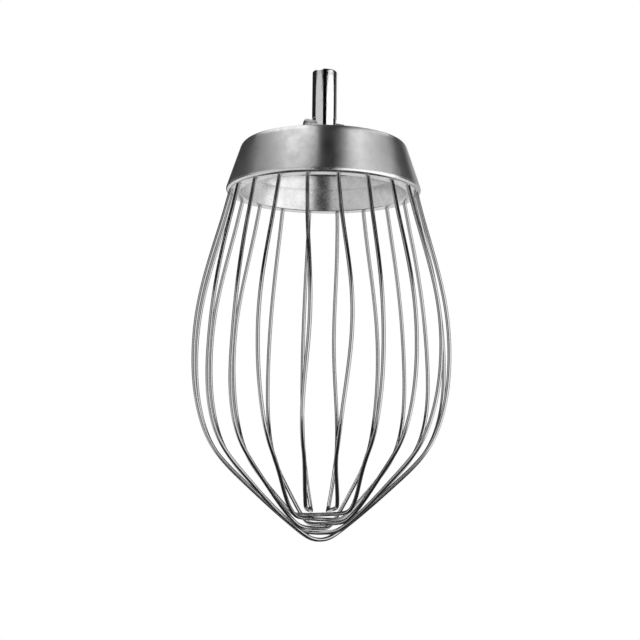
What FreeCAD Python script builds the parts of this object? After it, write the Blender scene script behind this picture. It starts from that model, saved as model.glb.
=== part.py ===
"""Wire whip for a planetary stand mixer: shank, conical hub cap and a balloon cage of ten wire loops.

Frame: millimetres, +Z up along the shank, the origin on the axis just above the drive pin.
Azimuth is counted in degrees from -Y (the front) towards +X.
"""
import FreeCAD, Part
import math
import os

V = FreeCAD.Vector
UP = V(0, 0, 1)

# ---- driving dimensions -------------------------------------------------------------------------
SHANK_RADIUS = 9.5
SHANK_TOP = 38.0
SHANK_CHAMFER = 1.0
RELIEF_RADIUS = 9.25
STUD_RADIUS = 7.0
STUD_BOTTOM = -39.5
STUD_CHAMFER = 1.0

PIN_RADIUS = 4.0
PIN_HALF_LENGTH = 18.0
PIN_HEIGHT = -5.8
PIN_AZIMUTH = -60.0
PIN_DOME = 1.6

CAP_TOP = -19.5
CAP_PLATE = 3.0
CAP_WALL = 1.8
CAP_CORNER = 7.0
CAP_EDGE_RADIUS = 74.4
CAP_TAPER = 1.0 / 3.0

RIM_Z = -58.5
RING_LIP = 3.0
LIP_ROUND = 2.6
BORE_ROUND = 0.8
RING_WALL = 12.0
RING_HEIGHT = 16.0
RING_GAP = 0.05
RETAINER_HEIGHT = 11.0

SEAL_HEIGHT = 1.0
SEAL_RADIUS = 18.0
FLANGE_RADIUS = 19.0
FLANGE_HEIGHT = 7.0
FLANGE_CHAMFER = 1.5

WASHER_RADIUS = 16.0
WASHER_HEIGHT = 2.5
SPRING_RADIUS = 12.0
SPRING_HEIGHT = 3.0
SPRING_SLOT = 2.0
NUT_ACROSS_FLATS = 22.0
NUT_HEIGHT = 8.0
NUT_CHAMFER = 1.2

WIRE_RADIUS = 1.5
WIRE_CLEARANCE = 0.08
HOLE_CIRCLE = 70.8
HOLE_TAPER = 0.277
WIRE_IN_RING = 15.4
WIRE_STRAIGHT = 12.0

# cage outline as (radius, drop below the rim): belly widest at mid height, then a blunt cone to the tip
CAGE_OUTLINE = ((HOLE_CIRCLE, 0), (83.6, 46), (94.2, 92), (96.6, 130), (92, 168), (81, 195),
                (60, 218), (33, 242.5), (16, 256.5))
CAGE_DROP = 263.8
TIP_SLOPE = 0.8
TURN_IN_RADIUS = 74.0
TURN_IN_SHARE = 0.3
GATE_RADIUS = 34.0
CORNER_SOFTNESS = 2.2
FLAT_FROM_RADIUS = 45.0
FLAT_BLEND = 20.0
LEAD_POINTS = 12

# one row per loop: near end and far end azimuth, near and far azimuth at the gate radius close to the
# tip, height of its flat bottom above the lowest wire, how far it passes beside the axis, and how many
# degrees its near and far leg bow sideways at the belly
LOOPS = ((-9, 189, -17.5, 191, 23.0, -8.5, 4, 0),
         (9, 171, 22, 169, 23.0, 8.5, 4, 3),
         (27, 225, 43, 222, 19.4, 0.5, 0, 1),
         (-27, 135, -39, 138, 15.9, -0.5, -1, 2.5),
         (45, 207, 54, 206, 12.5, 4.6, 0, -1),
         (-45, 153, -51, 154, 9.1, -4.0, 4, -1),
         (63, 261, 69, 258, 5.6, -1.8, 2.5, 0),
         (81, 243, 80, 246, 5.6, 1.8, 0, 0),
         (-63, 99, -71, 102, 0.0, 1.8, 5.5, 5.5),
         (-81, 117, -80, 114, 0.0, -1.8, 0, 4.5))


# ---- helpers ------------------------------------------------------------------------------------
def polar(azimuth, radius, height=0.0):
    """Point at an azimuth from the front, a radius from the axis and a height."""
    angle = math.radians(azimuth)
    return V(radius * math.sin(angle), -radius * math.cos(angle), height)


def turned(outline):
    """Solid of revolution of a closed (radius, height) outline; a third number rounds that corner."""
    points = [V(corner[0], 0, corner[1]) for corner in outline]
    edges = []
    starts = []
    ends = []
    for index, corner in enumerate(outline):
        here = points[index]
        before = (points[index - 1] - here).normalize()
        after = (points[(index + 1) % len(points)] - here).normalize()
        radius = corner[2] if len(corner) > 2 else 0.0
        half = before.getAngle(after) / 2
        reach = radius / math.tan(half) if radius else 0.0
        starts.append(here + before * reach)
        ends.append(here + after * reach)
        if radius:
            inward = (before + after).normalize()
            middle = here + inward * (radius / math.sin(half) - radius)
            edges.append(Part.Arc(starts[-1], middle, ends[-1]).toShape())
    for index, end in enumerate(ends):
        start = starts[(index + 1) % len(starts)]
        if end.distanceToPoint(start) > 1e-6:
            edges.append(Part.LineSegment(end, start).toShape())
    wire = Part.Wire(Part.__sortEdges__(edges))
    return Part.Face(wire).revolve(V(0, 0, 0), UP, 360)


def rounded_path(points):
    """Wire of straight runs joined by tangent arcs, each as large as its two runs allow."""
    edges = []
    last = points[0]
    for before, here, after in zip(points, points[1:], points[2:]):
        back = before - here
        ahead = after - here
        reach = 0.45 * min(back.Length, ahead.Length)
        start = here + back.normalize() * reach
        end = here + ahead.normalize() * reach
        half = back.getAngle(ahead) / 2
        inward = (back + ahead).normalize()
        middle = here + inward * (reach / math.cos(half) - reach * math.tan(half))
        edges.append(Part.LineSegment(last, start).toShape())
        edges.append(Part.Arc(start, middle, end).toShape())
        last = end
    edges.append(Part.LineSegment(last, points[-1]).toShape())
    return Part.Wire(edges)


def tube(points, radius):
    """Round bar that follows a rounded path."""
    path = rounded_path(points)
    section = Part.Wire(Part.makeCircle(radius, points[0], points[1] - points[0]))
    bar = path.makePipeShell([section], True, False)
    return bar, path


# ---- route of one wire loop ---------------------------------------------------------------------
def smooth_points(corners, count):
    """Evenly parametrised points on a spline through the given corners."""
    curve = Part.BSplineCurve()
    curve.interpolate(corners)
    first, last = curve.FirstParameter, curve.LastParameter
    return [curve.value(first + (last - first) * index / count) for index in range(count + 1)]


OUTLINE = smooth_points([V(radius, 0, RIM_Z - drop) for radius, drop in CAGE_OUTLINE], 240)


def cage_height(radius):
    """Height of the lower, closing half of the cage outline at a radius."""
    if radius <= OUTLINE[-1].x:
        return OUTLINE[-1].z - (OUTLINE[-1].x - radius) * TIP_SLOPE
    for upper, lower in zip(reversed(OUTLINE[:-1]), reversed(OUTLINE[1:])):
        if upper.x >= radius:
            share = (radius - lower.x) / (upper.x - lower.x)
            return lower.z + (upper.z - lower.z) * share


def leg_points(azimuth, bow):
    """Points down one leg, from its end inside the ring to where it turns in under the belly."""
    straight = [polar(azimuth, HOLE_CIRCLE - rise * HOLE_TAPER, RIM_Z + rise)
                for rise in (WIRE_IN_RING, -WIRE_STRAIGHT)]
    belly = max(range(len(OUTLINE)), key=lambda index: OUTLINE[index].x)
    leg = [point for index, point in enumerate(OUTLINE)
           if point.z < RIM_Z - 2 * WIRE_STRAIGHT and (index < belly or point.x > TURN_IN_RADIUS)]
    share = [(RIM_Z - point.z) / (RIM_Z - leg[-1].z) for point in leg]
    return straight + [polar(azimuth + bow * math.sin(math.pi * part) ** 2, point.x, point.z)
                       for part, point in zip(share, leg)]


def loop_points(near, far, near_gate, far_gate, level, offset, near_bow, far_bow):
    """Dense points along one whole loop, from its near end over the tip to its far end."""
    near_leg = leg_points(near, near_bow)
    far_leg = leg_points(far, far_bow)
    gates = [polar(near_gate, GATE_RADIUS), polar(far_gate, GATE_RADIUS)]
    ahead = (gates[1] - gates[0]).normalize()
    beside = V(ahead.y, -ahead.x, 0) * offset
    half_way = (TURN_IN_RADIUS + GATE_RADIUS) / 2
    quarters = [polar(end + (gate - end) * TURN_IN_SHARE, half_way)
                for end, gate in ((near, near_gate), (far, far_gate))]
    ends = (near_leg[-LEAD_POINTS], near_leg[-1], far_leg[-1], far_leg[-LEAD_POINTS])
    flat = [V(point.x, point.y, 0) for point in ends]
    crossing = [quarters[0], gates[0], beside, gates[1], quarters[1]]
    plan = smooth_points(flat[:2] + crossing + flat[2:], 400)
    bottom = RIM_Z - CAGE_DROP + level
    tip = []
    for point in plan:
        radius = math.hypot(point.x, point.y)
        if radius >= TURN_IN_RADIUS:
            continue
        outer = cage_height(radius)
        rise = outer - bottom
        lifted = 0.5 * (outer + bottom + math.sqrt(rise ** 2 + (2 * CORNER_SOFTNESS) ** 2))
        blend = min(max((radius - FLAT_FROM_RADIUS) / FLAT_BLEND, 0), 1)
        tip.append(V(point.x, point.y, lifted + (outer - lifted) * blend))
    return near_leg + tip + far_leg[::-1]


def path_corners(points, max_turn=11.0, max_run=26.0):
    """Few corners that follow dense points: short runs where the wire bends, long ones elsewhere."""
    corners = [points[0], points[1]]
    direction = (points[1] - points[0]).normalize()
    for index in range(2, len(points) - 2):
        run = points[index] - corners[-1]
        if run.Length < 3.0:
            continue
        turn = math.degrees(direction.getAngle(points[index + 1] - points[index]))
        if turn > max_turn or run.Length > max_run:
            corners.append(points[index])
            direction = (points[index + 1] - points[index]).normalize()
    while (points[-2] - corners[-1]).Length < max_run / 2:
        corners.pop()
    return corners + points[-2:]


# ---- the pieces ---------------------------------------------------------------------------------
def make_shaft():
    """Shank, ground above the origin, relieved below it, stepped down to the stud through the cap."""
    seat = CAP_TOP + SEAL_HEIGHT
    outline = ((0, STUD_BOTTOM), (STUD_RADIUS - STUD_CHAMFER, STUD_BOTTOM),
               (STUD_RADIUS, STUD_BOTTOM + STUD_CHAMFER), (STUD_RADIUS, seat), (RELIEF_RADIUS, seat),
               (RELIEF_RADIUS, 0), (SHANK_RADIUS, 0), (SHANK_RADIUS, SHANK_TOP - SHANK_CHAMFER),
               (SHANK_RADIUS - SHANK_CHAMFER, SHANK_TOP), (0, SHANK_TOP))
    return turned(outline).cut(cross_bar(PIN_RADIUS, SHANK_RADIUS + 5))


def cross_bar(radius, half_length):
    """Plain round bar across the axis at the height of the drive pin."""
    direction = polar(PIN_AZIMUTH, 1)
    start = V(0, 0, PIN_HEIGHT) - direction * half_length
    return Part.makeCylinder(radius, 2 * half_length, start, direction)


def make_pin():
    """Cross pin with domed ends that turns the whip in the mixer's slotted spindle."""
    dome = (PIN_RADIUS ** 2 + PIN_DOME ** 2) / (2 * PIN_DOME)
    edge = PIN_HALF_LENGTH - PIN_DOME
    side = math.sqrt(dome ** 2 - (PIN_RADIUS / 2) ** 2) - (dome - PIN_DOME)
    rim = V(PIN_RADIUS, 0, edge)
    quarter = V(PIN_RADIUS / 2, 0, edge + side)
    tip = V(0, 0, PIN_HALF_LENGTH)
    low_rim, low_quarter, low_tip = (V(point.x, 0, -point.z) for point in (rim, quarter, tip))
    arc_top = Part.Arc(rim, quarter, tip)
    arc_low = Part.Arc(low_tip, low_quarter, low_rim)
    barrel = Part.LineSegment(low_rim, rim)
    axis = Part.LineSegment(tip, low_tip)
    outline = Part.Wire([part.toShape() for part in (arc_low, barrel, arc_top, axis)])
    pin = Part.Face(outline).revolve(V(0, 0, 0), UP, 360)
    pin.Placement = FreeCAD.Placement(V(0, 0, PIN_HEIGHT), FreeCAD.Rotation(UP, polar(PIN_AZIMUTH, 1)))
    return pin


def make_flange():
    """Collar around the shank that clamps the cap from above."""
    low = CAP_TOP + SEAL_HEIGHT
    top = low + FLANGE_HEIGHT
    return turned(((RELIEF_RADIUS, low), (FLANGE_RADIUS, low), (FLANGE_RADIUS, top - FLANGE_CHAMFER),
                   (FLANGE_RADIUS - FLANGE_CHAMFER, top), (RELIEF_RADIUS, top)))


def make_ring(bore, outer, low, height):
    """Flat ring on the axis."""
    return turned(((bore, low), (outer, low), (outer, low + height), (bore, low + height)))


def cap_radius(height):
    """Outer radius of the cap's cone at a height."""
    return CAP_EDGE_RADIUS - (height - RIM_Z - RING_LIP) * CAP_TAPER


def make_cap():
    """Thin conical cap, open below, with a bored top plate."""
    edge = RIM_Z + RING_LIP
    under = CAP_TOP - CAP_PLATE
    return turned(((STUD_RADIUS, under), (cap_radius(under) - CAP_WALL, under, CAP_CORNER - CAP_WALL),
                   (CAP_EDGE_RADIUS - CAP_WALL, edge), (CAP_EDGE_RADIUS, edge),
                   (cap_radius(CAP_TOP), CAP_TOP, CAP_CORNER), (STUD_RADIUS, CAP_TOP)))


def ring_outer(height):
    """Radius of the wall inside the cap, less the gap the ring is fitted with."""
    return cap_radius(height) - CAP_WALL - RING_GAP


def ring_bore(height):
    """Radius of the conical bore that the ring and the sleeve share."""
    return cap_radius(height) - RING_WALL


def make_wire_ring(holes):
    """Ring that carries the wires: a rounded lip below the cap's edge and a tapered body inside it."""
    edge = RIM_Z + RING_LIP
    top = RIM_Z + RING_HEIGHT
    body = turned(((ring_bore(RIM_Z), RIM_Z, BORE_ROUND), (CAP_EDGE_RADIUS, RIM_Z, LIP_ROUND),
                   (CAP_EDGE_RADIUS, edge), (ring_outer(edge), edge), (ring_outer(top), top),
                   (ring_bore(top), top)))
    return body.cut(Part.makeCompound(holes))


def make_retainer():
    """Sleeve above the wire ring, in line with its bore, that closes the wire holes."""
    low = RIM_Z + RING_HEIGHT
    top = low + RETAINER_HEIGHT
    return turned(((ring_bore(low), low), (ring_outer(low), low), (ring_outer(top), top),
                   (ring_bore(top), top)))


def make_spring_washer(low):
    """Split spring washer, pressed flat, with its slanting slot."""
    ring = make_ring(STUD_RADIUS, SPRING_RADIUS, low, SPRING_HEIGHT)
    corner = V(0, -SPRING_SLOT / 2, -1.5 * SPRING_HEIGHT)
    slot = Part.makeBox(SPRING_RADIUS + 2, SPRING_SLOT, 3 * SPRING_HEIGHT, corner)
    slot.rotate(V(0, 0, 0), V(1, 0, 0), 25)
    slot.translate(V(0, 0, low + SPRING_HEIGHT / 2))
    return ring.cut(slot)


def make_nut(low):
    """Hexagon nut, chamfered on both faces."""
    corner = NUT_ACROSS_FLATS / math.sqrt(3)
    corners = [V(corner * math.cos(math.radians(60 * k)), corner * math.sin(math.radians(60 * k)), low)
               for k in range(7)]
    prism = Part.Face(Part.makePolygon(corners)).extrude(V(0, 0, NUT_HEIGHT))
    top = low + NUT_HEIGHT
    flat = corner - NUT_CHAMFER
    envelope = turned(((STUD_RADIUS, low), (flat, low), (corner, low + NUT_CHAMFER / 2),
                       (corner, top - NUT_CHAMFER / 2), (flat, top), (STUD_RADIUS, top)))
    return prism.common(envelope)


def make_hole(azimuth):
    """Cutter for one inclined wire hole, open at both faces of the ring."""
    direction = polar(azimuth, HOLE_TAPER, -1).normalize()
    start = polar(azimuth, HOLE_CIRCLE - 2 * RING_HEIGHT * HOLE_TAPER, RIM_Z + 2 * RING_HEIGHT)
    return Part.makeCylinder(WIRE_RADIUS + WIRE_CLEARANCE, 3 * RING_HEIGHT, start, direction)


# ---- build and write ----------------------------------------------------------------------------
def build():
    """Return every named piece."""
    pieces = {"drive_shaft": make_shaft(), "drive_pin": make_pin(), "shaft_flange": make_flange()}
    pieces["hub_seal"] = make_ring(STUD_RADIUS, SEAL_RADIUS, CAP_TOP, SEAL_HEIGHT)
    pieces["cap_shell"] = make_cap()
    pieces["wire_ring"] = make_wire_ring([make_hole(end) for loop in LOOPS for end in loop[:2]])
    pieces["wire_retainer"] = make_retainer()
    level = CAP_TOP - CAP_PLATE - WASHER_HEIGHT
    pieces["hub_washer"] = make_ring(STUD_RADIUS, WASHER_RADIUS, level, WASHER_HEIGHT)
    level -= SPRING_HEIGHT
    pieces["spring_washer"] = make_spring_washer(level)
    pieces["hub_nut"] = make_nut(level - NUT_HEIGHT)
    for number, loop in enumerate(LOOPS, 1):
        corners = path_corners(loop_points(*loop))
        bar, path = tube(corners, WIRE_RADIUS)
        print(f"wire_loop_{number:02d}: {len(corners)} corners, {path.Length:.0f} mm long")
        pieces[f"wire_loop_{number:02d}"] = bar
    return pieces


def main():
    """Write one STEP file for each piece."""
    os.makedirs("parts", exist_ok=True)
    for name, shape in build().items():
        print(f"{name}: valid {shape.isValid()}, solids {len(shape.Solids)}, volume {shape.Volume:.0f}")
        shape.exportStep(f"parts/{name}.step")


main()
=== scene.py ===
"""Studio model of a planetary mixer's wire whip, dressed on its CAD frame.

Lengths are metres in the CAD's own frame: +Z up along the shank, the origin on the axis just above
the drive pin. Azimuth is counted in degrees from -Y (the front) towards +X.
"""

import logging
import math
from dataclasses import dataclass, field
from enum import Enum
from typing import Callable, Sequence

import bmesh
import bpy
import numpy as np
from mathutils import Matrix, Vector

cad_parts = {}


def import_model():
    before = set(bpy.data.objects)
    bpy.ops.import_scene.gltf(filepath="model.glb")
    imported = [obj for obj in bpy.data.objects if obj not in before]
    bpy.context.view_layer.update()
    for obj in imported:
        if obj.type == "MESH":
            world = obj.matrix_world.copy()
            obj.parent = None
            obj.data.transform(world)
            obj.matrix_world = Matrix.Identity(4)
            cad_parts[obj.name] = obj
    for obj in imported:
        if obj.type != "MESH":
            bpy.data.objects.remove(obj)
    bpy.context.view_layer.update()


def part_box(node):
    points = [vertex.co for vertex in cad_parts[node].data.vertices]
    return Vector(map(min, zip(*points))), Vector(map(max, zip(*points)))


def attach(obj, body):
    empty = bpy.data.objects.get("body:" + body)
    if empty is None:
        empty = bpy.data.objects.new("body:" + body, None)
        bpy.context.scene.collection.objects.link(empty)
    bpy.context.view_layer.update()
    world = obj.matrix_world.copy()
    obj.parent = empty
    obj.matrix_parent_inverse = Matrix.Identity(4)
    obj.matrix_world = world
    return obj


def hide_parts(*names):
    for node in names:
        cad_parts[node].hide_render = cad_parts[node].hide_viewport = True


MM = 0.001
MERGE_DISTANCE = 1e-7
QUARTER_TURN = 0.25
FINE, MEDIUM, COARSE = 256, 128, 96  # faces round the axis
WIRE_RADIUS = 1.5 * MM
STUD_RADIUS = 7.0 * MM
HOLE_CIRCLE = 70.8
HOLE_TAPER = 0.277
LOG = logging.getLogger("whip")
Outline = Sequence[tuple[float, ...]]
Socket = bpy.types.NodeSocket
Material = bpy.types.Material
Piece = bpy.types.Object
Shape = bmesh.types.BMesh
Point = bmesh.types.BMVert


class Slot(Enum):
    """Material slots of the record."""
    SHANK = "shank_steel"
    CAP = "cap_metal"
    RING = "ring_metal"
    FITTINGS = "hub_fittings"
    SEAL = "seal_rubber"
    WIRE = "wire_steel"


# ---- node sheets and finishes ----
class NodeSheet:
    """A node tree with short calls that add a node and join sockets."""

    def __init__(self, tree: bpy.types.NodeTree) -> None:
        """Keeps a shader or geometry tree."""
        self.tree = tree

    @property
    def shader(self) -> bpy.types.Node:
        """The Principled shader of a material's tree."""
        return self.tree.nodes["Principled BSDF"]

    def place(self) -> Socket:
        """Where a point of the piece is, in metres."""
        return self.add("ShaderNodeTexCoord").outputs["Object"]

    def add(self, kind: str, values: dict | None = None, **settings: object) -> bpy.types.Node:
        """Adds one node.

        Args:
            kind: Blender's node type.
            values: By input name or number, a plain value or an output to join.
            settings: Attributes of the node.

        Returns:
            The new node.
        """
        node = self.tree.nodes.new(kind)
        for name, value in settings.items():
            setattr(node, name, value)
        for socket, value in (values or {}).items():
            if isinstance(value, Socket):
                self.join(value, node.inputs[socket])
            else:
                node.inputs[socket].default_value = value
        return node

    def join(self, source: Socket, target: Socket) -> None:
        """Joins an output to an input."""
        self.tree.links.new(source, target)

    def chain(self, kind: str, source: Socket, values: dict | None = None,
              **settings: object) -> Socket:
        """Adds a node fed by one source on its first input.

        Args:
            kind: Blender's node type.
            source: Output that feeds the first input.
            values: By input name or number, a plain value or an output to join.
            settings: Attributes of the node.

        Returns:
            The node's first output.
        """
        return self.add(kind, {0: source, **(values or {})}, **settings).outputs[0]

    def noise(self, vector: Socket, scale: float, detail: float,
              roughness: float = 0.5) -> Socket:
        """Fractal noise of a vector.

        Args:
            vector: Where the noise is read.
            scale: Cycles per unit of the vector.
            detail: Octaves.
            roughness: Weight of the finer octaves.

        Returns:
            The noise value, about 0.5 in the mean.
        """
        return self.add("ShaderNodeTexNoise", {"Vector": vector, "Scale": scale, "Detail": detail,
                                               "Roughness": roughness}).outputs[0]

    def spread(self, source: Socket, low: float, high: float, to_low: float,
               to_high: float) -> Socket:
        """Maps a value from one range to another and clamps it.

        Args:
            source: The value.
            low: Start of the range it comes from.
            high: End of the range it comes from.
            to_low: Result at the start.
            to_high: Result at the end.

        Returns:
            The mapped value.
        """
        return self.chain("ShaderNodeMapRange", source,
                          {"From Min": low, "From Max": high, "To Min": to_low, "To Max": to_high})

    def emboss(self, height: Socket, depth: float) -> None:
        """Gives the surface relief; a height of 1 is worth the depth, in metres."""
        bump = self.add("ShaderNodeBump", {"Strength": 1.0, "Distance": depth, "Height": height})
        self.join(bump.outputs["Normal"], self.shader.inputs["Normal"])


@dataclass(frozen=True)
class Finish:
    """Common part of every finish: a Principled material on Object coordinates."""

    name: str
    colour: tuple[float, float, float]
    roughness: float
    metallic: float = 1.0

    def material(self) -> Material:
        """The finish as a material, made at the first call."""
        if self.name in bpy.data.materials:
            return bpy.data.materials[self.name]
        material = bpy.data.materials.new(self.name)
        material.use_nodes = True
        sheet = NodeSheet(material.node_tree)
        for socket, value in (("Base Color", (*self.colour, 1.0)), ("Roughness", self.roughness),
                              ("Metallic", self.metallic)):
            sheet.shader.inputs[socket].default_value = value
        self.dress(sheet)
        return material

    def dress(self, sheet: NodeSheet) -> None:
        """Adds the finish's own detail to the plain shader.

        Args:
            sheet: The material's node sheet.
        """

    def tint(self, sheet: NodeSheet, share: Socket, dark: float) -> None:
        """Darkens the colour where a mask is high.

        Args:
            sheet: The material's node sheet.
            share: Mask from 0 to 1.
            dark: How much of the colour is left where the mask is 1.
        """
        worn = (*(part * dark for part in self.colour), 1.0)
        mix = sheet.add("ShaderNodeMix", {"Factor": share, "A": (*self.colour, 1.0), "B": worn},
                        data_type="RGBA")
        sheet.join(mix.outputs["Result"], sheet.shader.inputs["Base Color"])


@dataclass(frozen=True)
class TurnedSteel(Finish):
    """Steel turned on a lathe: fine lines round the axis, light handling marks between them."""

    lines_per_metre: float = 2600.0
    drift_per_metre: float = 12.0
    line_depth: float = 3e-6
    line_gloss: float = 0.03
    clouds_per_metre: float = 120.0
    cloud_gloss: tuple[float, float] = (-0.01, 0.10)
    stretch: float = 0.75
    mottle: float = 0.2
    scratched: float = 0.15
    worn_tone: float = 0.72
    scratch_turns: tuple[float, float] = (0.5, -0.9)
    scratch_scale: tuple[float, float, float] = (1400.0, 90.0, 90.0)

    def dress(self, sheet: NodeSheet) -> None:
        """Turned lines, cloudy rub marks and a few crossing scratches.

        Args:
            sheet: The material's node sheet.
        """
        place = sheet.place()
        flat = sheet.chain("ShaderNodeVectorMath", place, {1: (1.0, 1.0, 0.0)}, operation="MULTIPLY")
        reach = sheet.add("ShaderNodeVectorMath", {0: flat}, operation="LENGTH").outputs["Value"]
        split = sheet.add("ShaderNodeSeparateXYZ", {0: place}).outputs
        along = sheet.chain("ShaderNodeMath", split["Z"], {1: reach}, operation="SUBTRACT")
        line_place = {axis: sheet.chain("ShaderNodeMath", value, {1: pace}, operation="MULTIPLY")
                      for axis, value, pace in (("X", split["X"], self.drift_per_metre),
                                                ("Y", split["Y"], self.drift_per_metre),
                                                ("Z", along, self.lines_per_metre))}
        lines = sheet.noise(sheet.add("ShaderNodeCombineXYZ", line_place).outputs[0], 1.0, 3.0, 0.7)
        clouds = sheet.noise(place, self.clouds_per_metre, 5.0, 0.62)
        marks = sheet.spread(self.scratches(sheet, place), 0.0, 1.0, 0.0, self.scratched)
        worn = sheet.chain("ShaderNodeMath", sheet.spread(clouds, 0.42, 0.66, 0.0, self.mottle), {1: marks},
                           operation="ADD", use_clamp=True)
        self.tint(sheet, worn, self.worn_tone)
        hazy = sheet.spread(clouds, 0.35, 0.7, *(self.roughness + part for part in self.cloud_gloss))
        lined = sheet.spread(lines, 0.3, 0.7, -self.line_gloss, self.line_gloss)
        rough = sheet.chain("ShaderNodeMath", lined, {1: hazy}, operation="ADD")
        sheet.join(rough, sheet.shader.inputs["Roughness"])
        sheet.emboss(lines, self.line_depth)
        sheet.shader.inputs["Anisotropic"].default_value = self.stretch
        sheet.shader.inputs["Anisotropic Rotation"].default_value = QUARTER_TURN
        tangent = sheet.add("ShaderNodeTangent", direction_type="RADIAL", axis="Z")
        sheet.join(tangent.outputs[0], sheet.shader.inputs["Tangent"])

    def scratches(self, sheet: NodeSheet, place: Socket) -> Socket:
        """Thin marks in two slanting directions, from 0 to 1."""
        marks = []
        for turn in self.scratch_turns:
            slanting = sheet.chain("ShaderNodeMapping", place,
                                   {"Rotation": (0.4, turn, turn), "Scale": self.scratch_scale})
            marks.append(sheet.spread(sheet.noise(slanting, 1.0, 1.0), 0.70, 0.76, 0.0, 1.0))
        return sheet.chain("ShaderNodeMath", marks[0], {1: marks[1]}, operation="MAXIMUM")


@dataclass(frozen=True)
class PolishedSteel(Finish):
    """Ground and polished bar: faint rings, soft smears and a few small dull spots."""

    ring_depth: float = 4e-7
    ring_scale: tuple[float, float, float] = (25.0, 25.0, 3500.0)
    smears_per_metre: float = 160.0
    smear_gloss: float = 0.12

    def dress(self, sheet: NodeSheet) -> None:
        """Faint grinding rings and a varying gloss.

        Args:
            sheet: The material's node sheet.
        """
        place = sheet.place()
        rings = sheet.noise(sheet.chain("ShaderNodeMapping", place, {"Scale": self.ring_scale}), 1.0, 2.0)
        smears = sheet.noise(place, self.smears_per_metre, 4.0, 0.6)
        sheet.join(sheet.spread(smears, 0.4, 0.7, self.roughness, self.roughness + self.smear_gloss),
                   sheet.shader.inputs["Roughness"])
        self.tint(sheet, sheet.spread(smears, 0.55, 0.75, 0.0, 0.5), 0.8)
        sheet.emboss(rings, self.ring_depth)


@dataclass(frozen=True)
class DrawnWire(Finish):
    """Bright drawn spring wire: die lines along its length and small worn patches."""

    line_depth: float = 8e-7
    lines_round: float = 5.0
    drift_per_metre: float = 18.0
    patches_per_metre: float = 70.0
    patch_gloss: float = 0.1

    def dress(self, sheet: NodeSheet) -> None:
        """Die lines that run along the wire.

        Args:
            sheet: The material's node sheet.
        """
        section = sheet.add("ShaderNodeAttribute", attribute_name=CageWires.SECTION).outputs["Vector"]
        around = sheet.chain("ShaderNodeVectorMath", section, {"Scale": self.lines_round}, operation="SCALE")
        along = sheet.add("ShaderNodeAttribute", attribute_name=CageWires.ALONG).outputs["Fac"]
        drift = sheet.chain("ShaderNodeMath", along, {1: self.drift_per_metre}, operation="MULTIPLY")
        lift = sheet.add("ShaderNodeCombineXYZ", {"Z": drift}).outputs[0]
        where = sheet.chain("ShaderNodeVectorMath", around, {1: lift}, operation="ADD")
        lines = sheet.noise(where, 1.0, 4.0, 0.7)
        patches = sheet.noise(sheet.place(), self.patches_per_metre, 3.0)
        sheet.join(sheet.spread(patches, 0.35, 0.7, self.roughness, self.roughness + self.patch_gloss),
                   sheet.shader.inputs["Roughness"])
        self.tint(sheet, sheet.spread(lines, 0.5, 0.75, 0.0, 0.6), 0.75)
        sheet.emboss(lines, self.line_depth)


@dataclass(frozen=True)
class SealRubber(Finish):
    """Matt black rubber with a fine moulded skin."""

    skin_depth: float = 1.5e-5
    skin_per_metre: float = 2500.0
    dust_per_metre: float = 150.0
    dust_gloss: float = 0.1

    def dress(self, sheet: NodeSheet) -> None:
        """Fine skin and dusty patches.

        Args:
            sheet: The material's node sheet.
        """
        place = sheet.place()
        skin = sheet.noise(place, self.skin_per_metre, 3.0)
        dust = sheet.noise(place, self.dust_per_metre, 3.0)
        sheet.emboss(skin, self.skin_depth)
        sheet.join(sheet.spread(dust, 0.3, 0.7, self.roughness - self.dust_gloss,
                                self.roughness + self.dust_gloss), sheet.shader.inputs["Roughness"])


@dataclass(frozen=True)
class Finishes:
    """The object's seven finishes."""

    shank: PolishedSteel = PolishedSteel("polished_shank_steel", (0.74, 0.74, 0.745), 0.07)
    pin: PolishedSteel = PolishedSteel("ground_pin_steel", (0.40, 0.40, 0.405), 0.30, ring_depth=1e-6)
    cap: TurnedSteel = TurnedSteel("turned_cap_steel", (0.68, 0.68, 0.685), 0.31, stretch=0.88, mottle=0.5,
                                   scratched=0.06)
    ring: TurnedSteel = TurnedSteel("turned_ring_steel", (0.74, 0.74, 0.745), 0.22, stretch=0.3,
                                    line_depth=1e-6, mottle=0.08, scratched=0.02)
    fittings: TurnedSteel = TurnedSteel("machined_fittings_steel", (0.58, 0.58, 0.59), 0.3, stretch=0.4)
    seal: SealRubber = SealRubber("black_seal_rubber", (0.025, 0.025, 0.026), 0.62, metallic=0.0)
    wire: DrawnWire = DrawnWire("drawn_spring_wire", (0.50, 0.50, 0.505), 0.10)


# ---- mesh makers ----
def rounded(outline: Outline, steps: int = 6) -> list[tuple[float, float]]:
    """Replaces corners of a closed outline by arcs.

    Args:
        outline: (radius, height) corners; a third number is that corner's rounding.
        steps: Straight runs in each arc.

    Returns:
        The outline's points.
    """
    corners = [Vector(corner[:2]) for corner in outline]
    points = []
    for index, corner in enumerate(outline):
        here = corners[index]
        rounding = corner[2] if len(corner) > 2 else 0.0
        if not rounding:
            points.append(tuple(here))
            continue
        back = (corners[index - 1] - here).normalized()
        ahead = (corners[(index + 1) % len(corners)] - here).normalized()
        half = back.angle(ahead) / 2
        centre = here + (back + ahead).normalized() * rounding / math.sin(half)
        start = here + back * rounding / math.tan(half) - centre
        end = here + ahead * rounding / math.tan(half) - centre
        turn = start.angle_signed(end)
        for step in range(steps + 1):
            spoke = start.copy()
            spoke.rotate(Matrix.Rotation(-turn * step / steps, 2))
            points.append(tuple(centre + spoke))
    return points


def placed(name: str, data: bpy.types.ID) -> Piece:
    """Puts a mesh or a camera into the scene, at the origin."""
    thing = bpy.data.objects.new(name, data)
    bpy.context.scene.collection.objects.link(thing)
    return thing


def solid(name: str, shape: Shape) -> Piece:
    """Turns a shape into an object and frees it."""
    mesh = bpy.data.meshes.new(name)
    shape.to_mesh(mesh)
    shape.free()
    return placed(name, mesh)


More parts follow.
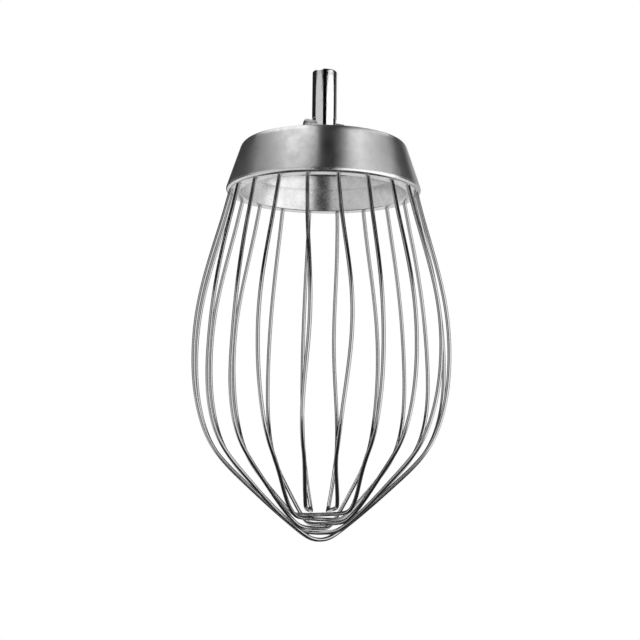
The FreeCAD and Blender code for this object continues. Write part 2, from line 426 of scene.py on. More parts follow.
def creased(piece: Piece, crease_degrees: float) -> None:
    """Shades a piece smooth between edges sharper than the crease angle."""
    piece.data.shade_smooth()
    piece.data.set_sharp_from_angle(angle=math.radians(crease_degrees))


def finished(name: str, shape: Shape, material: Material, crease_degrees: float = 35.0) -> Piece:
    """Closes a shape into an object with outward faces and smooth shading between creases.

    Args:
        name: Name of the piece.
        shape: Its faces, freed here.
        material: Its finish.
        crease_degrees: Edges sharper than this stay sharp.

    Returns:
        The object, at the origin.
    """
    bmesh.ops.remove_doubles(shape, verts=shape.verts, dist=MERGE_DISTANCE)
    bmesh.ops.recalc_face_normals(shape, faces=shape.faces)
    piece = solid(name, shape)
    piece.data.materials.append(material)
    creased(piece, crease_degrees)
    return piece


def ring_point(shape: Shape, radius: float, height: float, share: float) -> Point:
    """One point at a share of a turn round the axis."""
    angle = math.tau * share
    return shape.verts.new((radius * math.cos(angle), radius * math.sin(angle), height))


def ring_of(shape: Shape, radius: float, height: float, segments: int) -> list[Point]:
    """A whole ring of points; on the axis they are one and the same."""
    if radius < MERGE_DISTANCE:
        return [shape.verts.new((0, 0, height))] * segments
    return [ring_point(shape, radius, height, step / segments) for step in range(segments)]


def skin(shape: Shape, rings: Sequence[list[Point]]) -> None:
    """Spans faces between each ring and the next.

    Args:
        shape: Shape that holds the rings.
        rings: Rings of as many points each.
    """
    for near, far in zip(rings, rings[1:]):
        for step in range(len(near)):
            after = (step + 1) % len(near)
            corners = list(dict.fromkeys((near[step], near[after], far[after], far[step])))
            if len(corners) > 2:
                shape.faces.new(corners)


def lathe(name: str, outline: Outline, material: Material, segments: int = MEDIUM) -> Piece:
    """Turns a closed outline round the axis.

    Args:
        name: Name of the piece.
        outline: (radius, height) corners as rounded() takes them; radius 0 lies on the axis.
        material: Its finish.
        segments: Faces round the axis.

    Returns:
        The closed piece.
    """
    shape = bmesh.new()
    rings = [ring_of(shape, radius, height, segments) for radius, height in rounded(outline)]
    skin(shape, rings + rings[:1])
    return finished(name, shape, material)


def cut_away(piece: Piece, cutter: Piece, crease_degrees: float) -> None:
    """Subtracts a cutter from a piece and removes the cutter.

    Args:
        piece: Closed piece that is cut.
        cutter: Closed shape that is taken away.
        crease_degrees: Edges sharper than this stay sharp.
    """
    boolean = piece.modifiers.new("cut", "BOOLEAN")
    boolean.object = cutter
    boolean.operation = "DIFFERENCE"
    boolean.solver = "EXACT"
    bake_modifiers(piece)
    bpy.data.objects.remove(cutter)
    creased(piece, crease_degrees)


def bake_modifiers(piece: Piece) -> None:
    """Turns a piece's modifiers into its own plain mesh."""
    evaluated = piece.evaluated_get(bpy.context.evaluated_depsgraph_get())
    mesh = bpy.data.meshes.new_from_object(evaluated)
    piece.modifiers.clear()
    piece.data = mesh


def polar(azimuth: float, radius: float, height: float = 0.0) -> Vector:
    """Point at an azimuth from the front, a radius from the axis and a height."""
    angle = math.radians(azimuth)
    return Vector((radius * math.sin(angle), -radius * math.cos(angle), height))


def turned_to(direction: Vector) -> Matrix:
    """Turn that lays the upward axis along a direction."""
    return Vector((0, 0, 1)).rotation_difference(direction.normalized()).to_matrix().to_4x4()


def declare(piece: Piece, slot: Slot, *nodes: str) -> None:
    """Tells the frame what a piece rides on and stands for.

    Args:
        piece: The finished piece.
        slot: The record's material slot; not used.
        nodes: CAD nodes that it replaces.
    """
    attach(piece, "root")
    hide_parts(*nodes)
    LOG.info("%s: %d faces", piece.name, len(piece.data.polygons))


# ---- the shank and what turns it ----
@dataclass
class DriveShank:
    """Polished shank with its threaded stud and the cross pin."""

    finishes: Finishes
    shank_radius: float = 9.5 * MM
    shank_chamfer: float = 1.0 * MM
    shank_crease: float = 28.0
    relief_radius: float = 9.25 * MM
    edge_round: float = 0.25 * MM
    stud_radius: float = STUD_RADIUS
    stud_pitch: float = 1.5 * MM
    thread_depth: float = 0.8 * MM
    thread_length: float = 14.0 * MM
    thread_lead_in: float = 1.2 * MM
    thread_run_out: float = 1.5 * MM
    thread_steps: int = 12
    stud_chamfer: float = 1.0 * MM
    pin_radius: float = 4.0 * MM
    pin_half_length: float = 18.0 * MM
    pin_dome: float = 1.6 * MM
    pin_height: float = -5.8 * MM
    pin_azimuth: float = -60.0
    pin_groove: float = 0.35 * MM
    groove_from_end: float = 4.0 * MM
    half_groove: float = 0.4 * MM
    dome_steps: int = 8

    def build(self) -> None:
        """Makes the shank with its stud, and the pin."""
        declare(self.shank(), Slot.SHANK, "drive_shaft")
        declare(self.pin(), Slot.SHANK, "drive_pin")

    def shank(self) -> Piece:
        """Turned shank; the lower stud carries a helical thread.

        Returns:
            The piece.
        """
        low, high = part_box("drive_shaft")
        bottom, top = low[2], high[2]
        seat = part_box("shaft_flange")[0][2]
        segments, chamfer = COARSE, self.shank_chamfer
        profile = rounded(((0.0, seat), (self.relief_radius, seat), (self.relief_radius, 0.0),
                           (self.shank_radius, 0.0), (self.shank_radius, top - chamfer, self.edge_round),
                           (self.shank_radius - chamfer, top, self.edge_round), (0.0, top)))[1:-1]
        thread_top = bottom + self.thread_length
        count = round(self.thread_length / self.stud_pitch * self.thread_steps)
        heights = [bottom + self.thread_length * step / count for step in range(count + 1)]
        shape = bmesh.new()
        rings = []
        for height in heights:
            fade = min(1.0, (height - bottom) / self.thread_lead_in,
                       (thread_top - height) / self.thread_run_out)
            rings.append([self.thread_point(shape, height, step / segments, fade, height - bottom)
                          for step in range(segments)])
        rings += [ring_of(shape, radius, height, segments)
                  for radius, height in [(self.stud_radius, seat)] + profile]
        skin(shape, rings)
        shape.faces.new(rings[0])
        shape.faces.new(rings[-1])
        return finished("polished_shank", shape, self.finishes.shank.material(), self.shank_crease)

    def thread_point(self, shape: Shape, height: float, share: float, fade: float, rise: float) -> Point:
        """One point of the thread.

        Args:
            shape: Shape that takes the point.
            height: Height of the point.
            share: Share of a turn round the axis.
            fade: 0 on a plain stud and 1 in the full thread.
            rise: Height above the stud's end, which is chamfered.

        Returns:
            The new point.
        """
        phase = (rise / self.stud_pitch - share) % 1.0
        groove = self.thread_depth * (1.0 - abs(2.0 * phase - 1.0)) * max(fade, 0.0)
        end_chamfer = max(self.stud_chamfer - rise, 0.0)
        return ring_point(shape, self.stud_radius - max(groove, end_chamfer), height, share)

    def pin(self) -> Piece:
        """Cross pin with domed ends and a shallow groove behind each dome.

        Returns:
            The piece.
        """
        end = self.pin_half_length
        dome = (self.pin_radius ** 2 + self.pin_dome ** 2) / (2 * self.pin_dome)
        half_angle = math.asin(self.pin_radius / dome)
        angles = [half_angle * (1 - step / self.dome_steps) for step in range(self.dome_steps + 1)]
        cap = [(dome * math.sin(angle), end - dome + dome * math.cos(angle)) for angle in angles]
        groove = end - self.groove_from_end
        bar = [(self.pin_radius, groove - self.half_groove), (self.pin_radius - self.pin_groove, groove),
               (self.pin_radius, groove + self.half_groove)]
        upper = bar + cap
        lower = [(radius, -height) for radius, height in reversed(upper)]
        piece = lathe("cross_pin", lower + upper, self.finishes.pin.material(), COARSE // 2)
        lying = turned_to(polar(self.pin_azimuth, 1.0))
        piece.data.transform(Matrix.Translation((0, 0, self.pin_height)) @ lying)
        return piece


# ---- the open cap and the ring that carries the wires ----
@dataclass
class HubCap:
    """Thin turned cap, open below, with the wire ring and a sleeve above it inside its edge."""

    finishes: Finishes
    taper: float = 1.0 / 3.0
    wall: float = 1.8 * MM
    plate: float = 3.0 * MM
    corner: float = 7.0 * MM
    edge_break: float = 0.3 * MM
    lip: float = 3.0 * MM
    lip_round: float = 2.6 * MM
    lip_edge: float = 0.2 * MM
    bore_round: float = 0.8 * MM
    sleeve_round: float = 0.5 * MM
    ring_wall: float = 12.0 * MM
    ring_gap: float = 0.05 * MM
    seam: float = 0.08 * MM
    wire_radius: float = WIRE_RADIUS
    hole_clearance: float = 0.22 * MM
    hole_circle: float = HOLE_CIRCLE * MM
    hole_taper: float = HOLE_TAPER
    hole_sides: int = 32
    hole_reach: float = 2.5
    hole_azimuths: tuple[float, ...] = tuple(9.0 + 18.0 * step for step in range(20))

    def build(self) -> None:
        """Makes the cap, the wire ring and the sleeve."""
        declare(self.cap(), Slot.CAP, "cap_shell")
        declare(self.wire_ring(), Slot.RING, "wire_ring")
        declare(self.sleeve(), Slot.FITTINGS, "wire_retainer")

    def edge_radius(self) -> float:
        """Outer radius at the cap's lower edge."""
        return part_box("cap_shell")[1][0]

    def radius_at(self, height: float) -> float:
        """Outer radius of the cone at a height."""
        return self.edge_radius() - (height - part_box("cap_shell")[0][2]) * self.taper

    def cap(self) -> Piece:
        """The conical shell with its flat bored top.

        Returns:
            The piece.
        """
        low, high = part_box("cap_shell")
        edge, top = low[2], high[2]
        under = top - self.plate
        bore, tiny = STUD_RADIUS, self.edge_break
        return lathe("turned_cap", (
            (bore, under), (self.radius_at(under) - self.wall, under, self.corner - self.wall),
            (self.edge_radius() - self.wall, edge, tiny), (self.edge_radius(), edge, tiny),
            (self.radius_at(top), top, self.corner), (bore, top)),
            self.finishes.cap.material(), FINE)

    def wire_ring(self) -> Piece:
        """Ring with a rounded lip and one slanting hole for each wire end.

        Returns:
            The piece.
        """
        low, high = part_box("wire_ring")
        edge = low[2] + self.lip
        ring = lathe("wire_carrier_ring", (
            (self.bore_at(low[2]), low[2], self.bore_round), (self.edge_radius(), low[2], self.lip_round),
            (self.edge_radius(), edge, self.lip_edge), (self.inside_at(edge), edge),
            (self.inside_at(high[2]), high[2]), (self.bore_at(high[2]), high[2], self.seam)),
            self.finishes.ring.material(), FINE)
        cut_away(ring, self.holes(low[2]), 32.0)
        return ring

    def inside_at(self, height: float) -> float:
        """Outer radius of what fits inside the cap's wall."""
        return self.radius_at(height) - self.wall - self.ring_gap

    def bore_at(self, height: float) -> float:
        """Radius of the conical bore through the wire ring and the sleeve."""
        return self.radius_at(height) - self.ring_wall

    def holes(self, rim: float) -> Piece:
        """Cutter for all the wire holes.

        Args:
            rim: Height of the ring's lower face.

        Returns:
            One object of slanting bars.
        """
        shape = bmesh.new()
        low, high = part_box("wire_ring")
        length = self.hole_reach * (high[2] - low[2])
        radius = self.wire_radius + self.hole_clearance
        for azimuth in self.hole_azimuths:
            place = Matrix.Translation(polar(azimuth, self.hole_circle, rim))
            slant = turned_to(polar(azimuth, self.hole_taper, -1.0))
            bmesh.ops.create_cone(shape, cap_ends=True, segments=self.hole_sides, depth=length,
                                  radius1=radius, radius2=radius, matrix=place @ slant)
        return solid("holes", shape)

    def sleeve(self) -> Piece:
        """Sleeve above the wire ring, in line with its bore.

        Returns:
            The piece.
        """
        low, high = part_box("wire_retainer")
        return lathe("closing_sleeve", (
            (self.bore_at(low[2]), low[2], self.seam), (self.inside_at(low[2]), low[2]),
            (self.inside_at(high[2]), high[2]), (self.bore_at(high[2]), high[2], self.sleeve_round)),
            self.finishes.ring.material(), FINE)


# ---- collar, seal and nut ----
@dataclass
class HubFixings:
    """Collar and seal above the cap; washer, spring washer and nut below it."""

    finishes: Finishes
    collar_bore: float = 9.25 * MM
    stud_radius: float = STUD_RADIUS
    collar_chamfer: float = 1.5 * MM
    nut_chamfer: float = 1.2 * MM
    nut_flats: float = 22.0 * MM
    slot_width: float = 2.0 * MM
    slot_height: float = 9.0 * MM
    slot_overrun: float = 2.0 * MM
    collar_segments: int = 160
    slot_slant: float = 25.0
    break_edge: float = 0.25 * MM

    def build(self) -> None:
        """Makes the five fixings."""
        steel = self.finishes.fittings.material()
        declare(self.collar(), Slot.FITTINGS, "shaft_flange")
        declare(self.ring("seal_ring", "hub_seal", self.finishes.seal.material()), Slot.SEAL, "hub_seal")
        declare(self.ring("plain_washer", "hub_washer", steel), Slot.FITTINGS, "hub_washer")
        declare(self.split_washer(), Slot.FITTINGS, "spring_washer")
        declare(self.nut(), Slot.FITTINGS, "hub_nut")

    def collar(self) -> Piece:
        """Chamfered collar.

        Returns:
            The piece.
        """
        low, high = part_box("shaft_flange")
        radius, chamfer = high[0], self.collar_chamfer
        return lathe("clamp_collar", (
            (self.collar_bore, low[2]), (radius, low[2], self.break_edge),
            (radius, high[2] - chamfer, self.break_edge), (radius - chamfer, high[2], self.break_edge),
            (self.collar_bore, high[2])), self.finishes.fittings.material(), self.collar_segments)

    def ring(self, name: str, node: str, material: Material) -> Piece:
        """Flat ring with broken edges that fits the stud.

        Args:
            name: Name of the piece.
            node: CAD node whose box it fills.
            material: Its finish.

        Returns:
            The piece.
        """
        low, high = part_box(node)
        bore, edge = self.stud_radius, self.break_edge
        return lathe(name, ((bore, low[2], edge), (high[0], low[2], edge), (high[0], high[2], edge),
                            (bore, high[2], edge)), material)

    def split_washer(self) -> Piece:
        """Spring washer, pressed flat, with its slanting slot.

        Returns:
            The piece.
        """
        low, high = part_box("spring_washer")
        washer = self.ring("split_spring_washer", "spring_washer", self.finishes.fittings.material())
        shape = bmesh.new()
        reach = high[1] + self.slot_overrun
        place = (Matrix.Translation((reach / 2, 0, (low[2] + high[2]) / 2))
                 @ Matrix.Rotation(math.radians(self.slot_slant), 4, "X")
                 @ Matrix.Diagonal((reach, self.slot_width, self.slot_height, 1.0)))
        bmesh.ops.create_cube(shape, size=1.0, matrix=place)
        cut_away(washer, solid("slot", shape), 35.0)
        return washer

    def nut(self) -> Piece:
        """Hexagon nut: a turned blank whose six flats are planed off.

        Returns:
            The piece.
        """
        low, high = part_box("hub_nut")
        corner, steel = self.nut_flats / math.sqrt(3), self.finishes.fittings.material()
        flat, rise = corner - self.nut_chamfer, self.nut_chamfer / 2
        blank = lathe("hexagon_nut", (
            (self.stud_radius, low[2]), (flat, low[2]), (corner, low[2] + rise), (corner, high[2] - rise),
            (flat, high[2]), (self.stud_radius, high[2])), steel, COARSE)
        shape = bmesh.new()
        shape.from_mesh(blank.data)
        for side in range(6):
            out = Matrix.Rotation(math.radians(30 + 60 * side), 3, "Z") @ Vector((1, 0, 0))
            cut = bmesh.ops.bisect_plane(shape, geom=shape.verts[:] + shape.edges[:] + shape.faces[:],
                                         plane_co=out * self.nut_flats / 2, plane_no=out, clear_outer=True)
            rim = [item for item in cut["geom_cut"] if isinstance(item, bmesh.types.BMEdge)]
            bmesh.ops.contextual_create(shape, geom=rim)
        bpy.data.objects.remove(blank)
        return finished("hexagon_nut", shape, steel, 25.0)


# ---- the balloon cage ----
def smooth_points(corners: np.ndarray, count: int) -> np.ndarray:
    """Evenly parametrised points on a cubic spline through corners.

    Args:
        corners: Points in rows; the spline's knots are their chord lengths.
        count: Number of steps.

    Returns:
        count + 1 points.
    """
    corners = np.asarray(corners, float)
    knots = np.concatenate(([0.0], np.cumsum(np.linalg.norm(np.diff(corners, axis=0), axis=1))))
    steps = np.diff(knots)
    rates = np.diff(corners, axis=0) / steps[:, None]
    size = len(corners)
    matrix = np.eye(size)
    right = np.empty_like(corners)
    right[0] = np.polyfit(knots[:4] - knots[0], corners[:4], 3)[2]
    right[-1] = np.polyfit(knots[-4:] - knots[-1], corners[-4:], 3)[2]
    for row in range(1, size - 1):
        before, after = steps[row - 1], steps[row]
        matrix[row, row - 1:row + 2] = after, 2 * (before + after), before
        right[row] = 3 * (after * rates[row - 1] + before * rates[row])
    slopes = np.linalg.solve(matrix, right)
    where = np.linspace(0.0, knots[-1], count + 1)
    span = np.clip(np.searchsorted(knots, where, side="right") - 1, 0, size - 2)
    length = steps[span][:, None]
    share = (where[:, None] - knots[span][:, None]) / length
    start, end = corners[span], corners[span + 1]
    leave, arrive = slopes[span] * length, slopes[span + 1] * length
    return (start * (1 + 2 * share) * (1 - share) ** 2 + leave * share * (1 - share) ** 2
            + end * share ** 2 * (3 - 2 * share) + arrive * share ** 2 * (share - 1))


@dataclass(frozen=True)
class WireRoute:
    """How one loop of wire runs, from its near end over the tip to its far end."""

    near: float
    far: float
    near_gate: float
    far_gate: float
    level: float
    beside: float
    near_bow: float = 0.0
    far_bow: float = 0.0


@dataclass
class CageWires:
    """Ten spring wire loops that cross beside the axis at the tip."""

    finishes: Finishes
    ALONG = "along"
    SECTION = "section"
    routes: tuple[WireRoute, ...] = (
        WireRoute(-9, 189, -17.5, 191, 23.0, -8.5, 4, 0),
        WireRoute(9, 171, 22, 169, 23.0, 8.5, 4, 3),
        WireRoute(27, 225, 43, 222, 19.4, 0.5, 0, 1),
        WireRoute(-27, 135, -39, 138, 15.9, -0.5, -1, 2.5),
        WireRoute(45, 207, 54, 206, 12.5, 4.6, 0, -1),
        WireRoute(-45, 153, -51, 154, 9.1, -4.0, 4, -1),
        WireRoute(63, 261, 69, 258, 5.6, -1.8, 2.5, 0),
        WireRoute(81, 243, 80, 246, 5.6, 1.8, 0, 0),
        WireRoute(-63, 99, -71, 102, 0.0, 1.8, 5.5, 5.5),
        WireRoute(-81, 117, -80, 114, 0.0, -1.8, 0, 4.5))
    wire_radius: float = WIRE_RADIUS
    sides: int = 20
    spacing: float = 1.6 * MM
    hole_circle: float = HOLE_CIRCLE
    hole_taper: float = HOLE_TAPER
    in_ring: float = 15.4
    straight: float = 12.0
    outline: tuple[tuple[float, float], ...] = (
        (HOLE_CIRCLE, 0), (83.6, 46), (94.2, 92), (96.6, 130), (92, 168), (81, 195), (60, 218), (33, 242.5),
        (16, 256.5))
    drop: float = 263.8
    tip_slope: float = 0.8
    turn_in_radius: float = 74.0
    turn_in_share: float = 0.3
    gate_radius: float = 34.0
    softness: float = 2.2
    flat_from: float = 45.0
    flat_blend: float = 20.0
    lead: int = 12
    profile_steps: int = 240
    plan_steps: int = 400
    least_gap: float = 4.5
    last_gap: float = 3.0
    profile: np.ndarray = field(init=False)
    rim: float = field(init=False)

    def __post_init__(self) -> None:
        """Works out the cage's outline below the ring; the route is in millimetres until it is drawn."""
        self.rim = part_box("wire_ring")[0][2] / MM
        corners = [(radius, 0.0, self.rim - drop) for radius, drop in self.outline]
        self.profile = smooth_points(np.array(corners), self.profile_steps)

    def build(self) -> None:
        """Makes the ten loops."""
        steel = self.finishes.wire.material()
        tree = self.wire_tree()
        for number, route in enumerate(self.routes, 1):
            piece = self.wire(f"cage_wire_{number:02d}", route, tree, steel)
            declare(piece, Slot.WIRE, f"wire_loop_{number:02d}")

    def height_at(self, radius: float) -> float:
        """Height of the lower, closing half of the outline at a radius."""
        end = self.profile[-1]
        if radius <= end[0]:
            return end[2] - (end[0] - radius) * self.tip_slope
        lower = self.profile[np.argmax(self.profile[:, 0]):][::-1]
        return float(np.interp(radius, lower[:, 0], lower[:, 2]))

    def leg(self, azimuth: float, bow: float) -> np.ndarray:
        """Points down one leg.

        Args:
            azimuth: Where it hangs from the ring.
            bow: Degrees it bows sideways at the belly.

        Returns:
            Points from its end inside the ring to where it turns in under the belly.
        """
        belly = int(np.argmax(self.profile[:, 0]))
        index = np.arange(len(self.profile))
        keep = (self.profile[:, 2] < self.rim - 2 * self.straight) & (
            (index < belly) | (self.profile[:, 0] > self.turn_in_radius))
        hanging = self.profile[keep]
        share = (self.rim - hanging[:, 2]) / (self.rim - hanging[-1, 2])
        points = [polar(azimuth, self.hole_circle - rise * self.hole_taper, self.rim + rise)
                  for rise in (self.in_ring, -self.straight)]
        points += [polar(azimuth + bow * math.sin(math.pi * part) ** 2, point[0], point[2])
                   for part, point in zip(share, hanging)]
        return np.array(points)

    def centre_line(self, route: WireRoute) -> np.ndarray:
        """The smooth centre line of one loop.

        Args:
            route: Where it runs.

        Returns:
            Points about as far apart as the drawn spacing, in metres.
        """
        near, far = self.leg(route.near, route.near_bow), self.leg(route.far, route.far_bow)
        gates = [polar(route.near_gate, self.gate_radius), polar(route.far_gate, self.gate_radius)]
        ahead = (gates[1] - gates[0]).normalized()
        middle = Vector((ahead.y, -ahead.x, 0.0)) * route.beside
        half_way = (self.turn_in_radius + self.gate_radius) / 2
        quarters = [polar(end + (gate - end) * self.turn_in_share, half_way)
                    for end, gate in ((route.near, route.near_gate), (route.far, route.far_gate))]
        ends = [Vector((point[0], point[1], 0.0))
                for point in (near[-self.lead], near[-1], far[-1], far[-self.lead])]
        corners = ends[:2] + [quarters[0], gates[0], middle, gates[1], quarters[1]] + ends[2:]
        plan = smooth_points(np.array([tuple(corner) for corner in corners]), self.plan_steps)
        bottom = self.rim - self.drop + route.level
        tip = [self.lifted(point, bottom) for point in plan if math.hypot(*point[:2]) < self.turn_in_radius]
        return self.even(np.concatenate((near, np.array(tip), far[::-1])))

    def lifted(self, point: np.ndarray, bottom: float) -> tuple[float, float, float]:
        """Gives a point of the plan its height, on the outline or on the loop's flat bottom.

        Args:
            point: Point of the plan.
            bottom: Height of the flat bottom.

        Returns:
            The point in space.
        """
        radius = math.hypot(point[0], point[1])
        outer = self.height_at(radius)
        flat = 0.5 * (outer + bottom + math.hypot(outer - bottom, 2 * self.softness))
        blend = min(max((radius - self.flat_from) / self.flat_blend, 0.0), 1.0)
        return point[0], point[1], flat + (outer - flat) * blend

    def even(self, points: np.ndarray) -> np.ndarray:
        """Thins dense points, draws a spline through them and turns millimetres to metres.

        Args:
            points: Dense points of the whole loop.

        Returns:
            Evenly spaced points in metres.
        """
        kept = [points[0], points[1]]
        for point in points[2:-2]:
            if np.linalg.norm(point - kept[-1]) > self.least_gap:
                kept.append(point)
        if np.linalg.norm(points[-2] - kept[-1]) < self.last_gap:
            kept.pop()
        kept += [points[-2], points[-1]]
        line = np.array(kept) * MM
        length = np.linalg.norm(np.diff(line, axis=0), axis=1).sum()
        return smooth_points(line, round(length / self.spacing))

    def wire(self, name: str, route: WireRoute, tree: bpy.types.NodeTree, steel: Material) -> Piece:
        """One loop of round wire.

        Args:
            name: Name of the piece.
            route: Where it runs.
            tree: Geometry nodes that draw the wire along its centre line.
            steel: Its finish.

        Returns:
            The piece as a plain mesh.
        """
        points = self.centre_line(route)
        mesh = bpy.data.meshes.new(name)
        mesh.from_pydata([tuple(point) for point in points], [(k, k + 1) for k in range(len(points) - 1)], [])
        piece = placed(name, mesh)
        drawing = piece.modifiers.new("draw", "NODES")
        drawing.node_group = tree
        values = {"Wire radius": self.wire_radius, "Sides": self.sides, "Finish": steel}
        for item in tree.interface.items_tree:
            if item.name in values:
                drawing[item.identifier] = values[item.name]
        bake_modifiers(piece)
        return piece

    def wire_tree(self) -> bpy.types.NodeTree:
        """Geometry nodes that turn a line of edges into a closed round wire.

        Returns:
            The tree, with inputs for the wire's radius, its sides and its finish.
        """
        tree = bpy.data.node_groups.new("draw_wire", "GeometryNodeTree")
        for name, kind in (("Line", "NodeSocketGeometry"), ("Wire radius", "NodeSocketFloat"),
                           ("Sides", "NodeSocketInt"), ("Finish", "NodeSocketMaterial")):
            tree.interface.new_socket(name, in_out="INPUT", socket_type=kind)
        tree.interface.new_socket("Wire", in_out="OUTPUT", socket_type="NodeSocketGeometry")
        sheet = NodeSheet(tree)
        given = sheet.add("NodeGroupInput").outputs
        line = sheet.chain("GeometryNodeMeshToCurve", given["Line"])
        reach = sheet.add("GeometryNodeSplineParameter").outputs["Length"]
        line = self.stored(sheet, line, self.ALONG, "FLOAT", reach)
        circle = sheet.add("GeometryNodeCurvePrimitiveCircle",
                           {"Radius": given["Wire radius"], "Resolution": given["Sides"]})
        place = sheet.chain("ShaderNodeVectorMath", sheet.add("GeometryNodeInputPosition").outputs[0],
                            {"Scale": 1.0 / self.wire_radius}, operation="SCALE")
        section = self.stored(sheet, circle.outputs["Curve"], self.SECTION, "FLOAT_VECTOR", place)
        swept = sheet.chain("GeometryNodeCurveToMesh", line, {"Profile Curve": section, "Fill Caps": True})
        smooth = sheet.chain("GeometryNodeSetShadeSmooth", sheet.chain("GeometryNodeRealizeInstances", swept))
        dressed = sheet.chain("GeometryNodeSetMaterial", smooth, {"Material": given["Finish"]})
        sheet.add("NodeGroupOutput", {0: dressed})
        return tree

    @staticmethod
    def stored(sheet: NodeSheet, geometry: Socket, name: str, kind: str,
               value: Socket) -> Socket:
        """Stores a value on each point under a name.

        Args:
            sheet: The tree's node sheet.
            geometry: Geometry that takes the attribute.
            name: Name of the attribute.
            kind: Its data type.
            value: Its value at each point.

        Returns:
            The geometry with the attribute.
        """
        return sheet.chain("GeometryNodeStoreNamedAttribute", geometry, {"Name": name, "Value": value},
                           data_type=kind, domain="POINT")


# ---- the studio ----
@dataclass(frozen=True)
class Panel:
    """A soft box or a flag round the object, out of the camera's sight."""

    name: str
    azimuth: float
    distance: float
    width: float
    low: float
    high: float
    glow: float


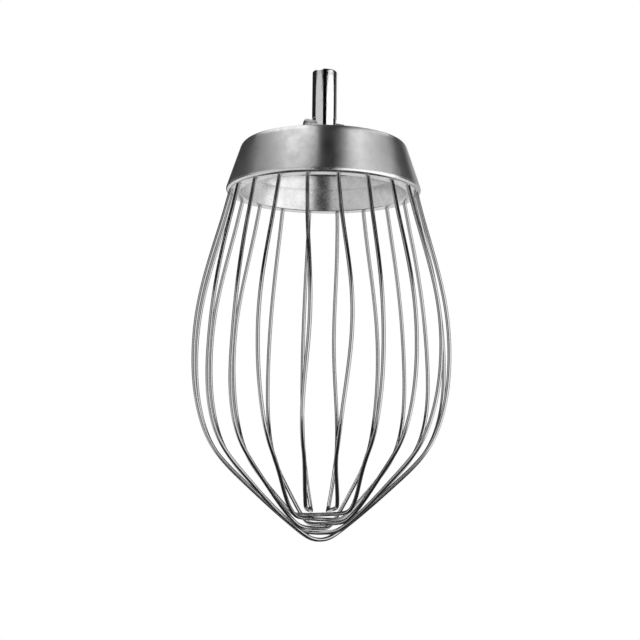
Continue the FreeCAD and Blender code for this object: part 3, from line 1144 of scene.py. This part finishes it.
@dataclass
class Studio:
    """Pale floor, soft boxes to the left and right, a dark gap between them, and the camera."""

    floor_height: float = -1.10
    floor_half_width: float = 20.0
    under_height: float = -0.66
    under_half_width: float = 0.62
    under_glow: float = 0.03
    backdrop: float = 1.0
    room: float = 0.02
    top_height: float = 1.0
    top_half_width: float = 1.0
    top_glow: float = 1.6
    gap_left: float = -0.13
    gap_right: float = 0.52
    camera_place: tuple[float, float, float] = (0.0, -1.3484, -0.3630)
    camera_aim: tuple[float, float, float] = (-0.0014, 0.0, -0.1562)
    camera_roll: float = 0.0124
    focal_length: float = 101.42
    film_width: float = 36.0
    sight: float = 100.0
    panels: tuple[Panel, ...] = (
        Panel("right_soft_box", 57.0, 1.3, 2.0, -1.08, 0.54, 1.5),
        Panel("left_soft_box", -52.0, 1.3, 2.0, -1.08, 0.54, 0.75),
        Panel("back_right_box", 150.0, 1.5, 1.0, -1.08, 0.54, 0.5),
        Panel("dark_gap", 1.5, 0.95, 0.44, -1.08, 1.25, 0.0))

    def build(self) -> None:
        """Makes the floor, the panels, the background and the camera."""
        self.floor()
        for panel in self.panels:
            self.panel(panel)
        self.top_light()
        self.under_flag()
        self.background()
        self.camera()

    def sheet_mesh(self, name: str, corners: Sequence[Sequence[float]], material: Material
                   ) -> Piece:
        """A flat four-cornered stage piece.

        Args:
            name: Name of the piece.
            corners: Its corners in order.
            material: What it is made of.

        Returns:
            The stage piece.
        """
        mesh = bpy.data.meshes.new(name)
        mesh.from_pydata([tuple(corner) for corner in corners], [], [(0, 1, 2, 3)])
        mesh.materials.append(material)
        piece = placed(name, mesh)
        return piece

    def floor(self) -> None:
        """Plain pale floor, well below the tip."""
        half = self.floor_half_width
        paper = Finish("pale_floor", (0.86, 0.86, 0.86), 0.8, metallic=0.0).material()
        self.sheet_mesh("studio_floor", self.level(-half, half, half, self.floor_height), paper)

    @staticmethod
    def level(left: float, right: float, half: float, height: float) -> Sequence[Sequence[float]]:
        """Corners of a level sheet from left to right, twice the half deep."""
        return (left, -half, height), (right, -half, height), (right, half, height), (left, half, height)

    def glowing(self, name: str, corners: Sequence[Sequence[float]], strength: float,
                lights_floor: bool = False, shades: bool = True) -> None:
        """Evenly glowing or black stage piece that the camera doesn't see.

        Args:
            name: Name of the piece.
            corners: Its corners in order.
            strength: Its glow.
            lights_floor: Whether matt surfaces take light from it.
            shades: Whether it throws a shade.
        """
        material = bpy.data.materials.new(name)
        material.use_nodes = True
        sheet = NodeSheet(material.node_tree)
        sheet.tree.nodes.clear()
        glow = sheet.add("ShaderNodeEmission", {"Strength": strength})
        sheet.add("ShaderNodeOutputMaterial", {"Surface": glow.outputs[0]})
        piece = self.sheet_mesh(name, corners, material)
        piece.visible_camera = False
        piece.visible_diffuse = lights_floor
        piece.visible_shadow = shades

    def panel(self, panel: Panel) -> None:
        """Upright panel that faces the axis; a dark one shows in reflections alone."""
        middle = polar(panel.azimuth, panel.distance)
        aside = polar(panel.azimuth + 90.0, panel.width / 2)
        left, right = middle - aside, middle + aside
        corners = [(left.x, left.y, panel.low), (right.x, right.y, panel.low), (right.x, right.y, panel.high),
                   (left.x, left.y, panel.high)]
        self.glowing(panel.name, corners, panel.glow, shades=panel.glow > 0)

    def under_flag(self) -> None:
        """Dark flag below the tip, which shows in reflections alone."""
        half = self.under_half_width
        self.glowing("under_flag", self.level(-half, half, half, self.under_height), self.under_glow,
                     shades=False)

    def top_light(self) -> None:
        """Two level soft boxes above the object, with a dark gap between them."""
        half = self.top_half_width
        for name, left, right in (("top_left_box", -half, self.gap_left),
                                  ("top_right_box", self.gap_right, half)):
            self.glowing(name, self.level(left, right, half, self.top_height), self.top_glow, lights_floor=True)

    def background(self) -> None:
        """White all round, but a dim room in the metal's reflections."""
        world = bpy.data.worlds.new("studio")
        world.use_nodes = True
        bpy.context.scene.world = world
        sheet = NodeSheet(world.node_tree)
        backdrop = world.node_tree.nodes["Background"]
        backdrop.inputs["Color"].default_value = (1.0, 1.0, 1.0, 1.0)
        mirrored = sheet.add("ShaderNodeLightPath").outputs["Is Glossy Ray"]
        sheet.join(sheet.spread(mirrored, 0.0, 1.0, self.backdrop, self.room), backdrop.inputs["Strength"])
        bpy.context.scene.view_settings.view_transform = "Standard"

    def camera(self) -> None:
        """Camera a little below the object, looking slightly up."""
        data = bpy.data.cameras.new("camera")
        data.lens = self.focal_length
        data.sensor_width = self.film_width
        data.clip_end = self.sight
        camera = placed("camera", data)
        place = Vector(self.camera_place)
        look = (Vector(self.camera_aim) - place).to_track_quat("-Z", "Y").to_matrix().to_4x4()
        camera.matrix_world = Matrix.Translation(place) @ look @ Matrix.Rotation(self.camera_roll, 4, "Z")
        bpy.context.scene.camera = camera


def main() -> None:
    """Builds the whip's sub-assemblies and the studio in order."""
    logging.basicConfig(level=logging.INFO, format="%(name)s %(message)s")
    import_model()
    finishes = Finishes()
    parts: Sequence[Callable[[Finishes], object]] = (DriveShank, HubCap, HubFixings, CageWires)
    for part in parts:
        part(finishes).build()
    Studio().build()


if __name__ == "__main__":
    main()
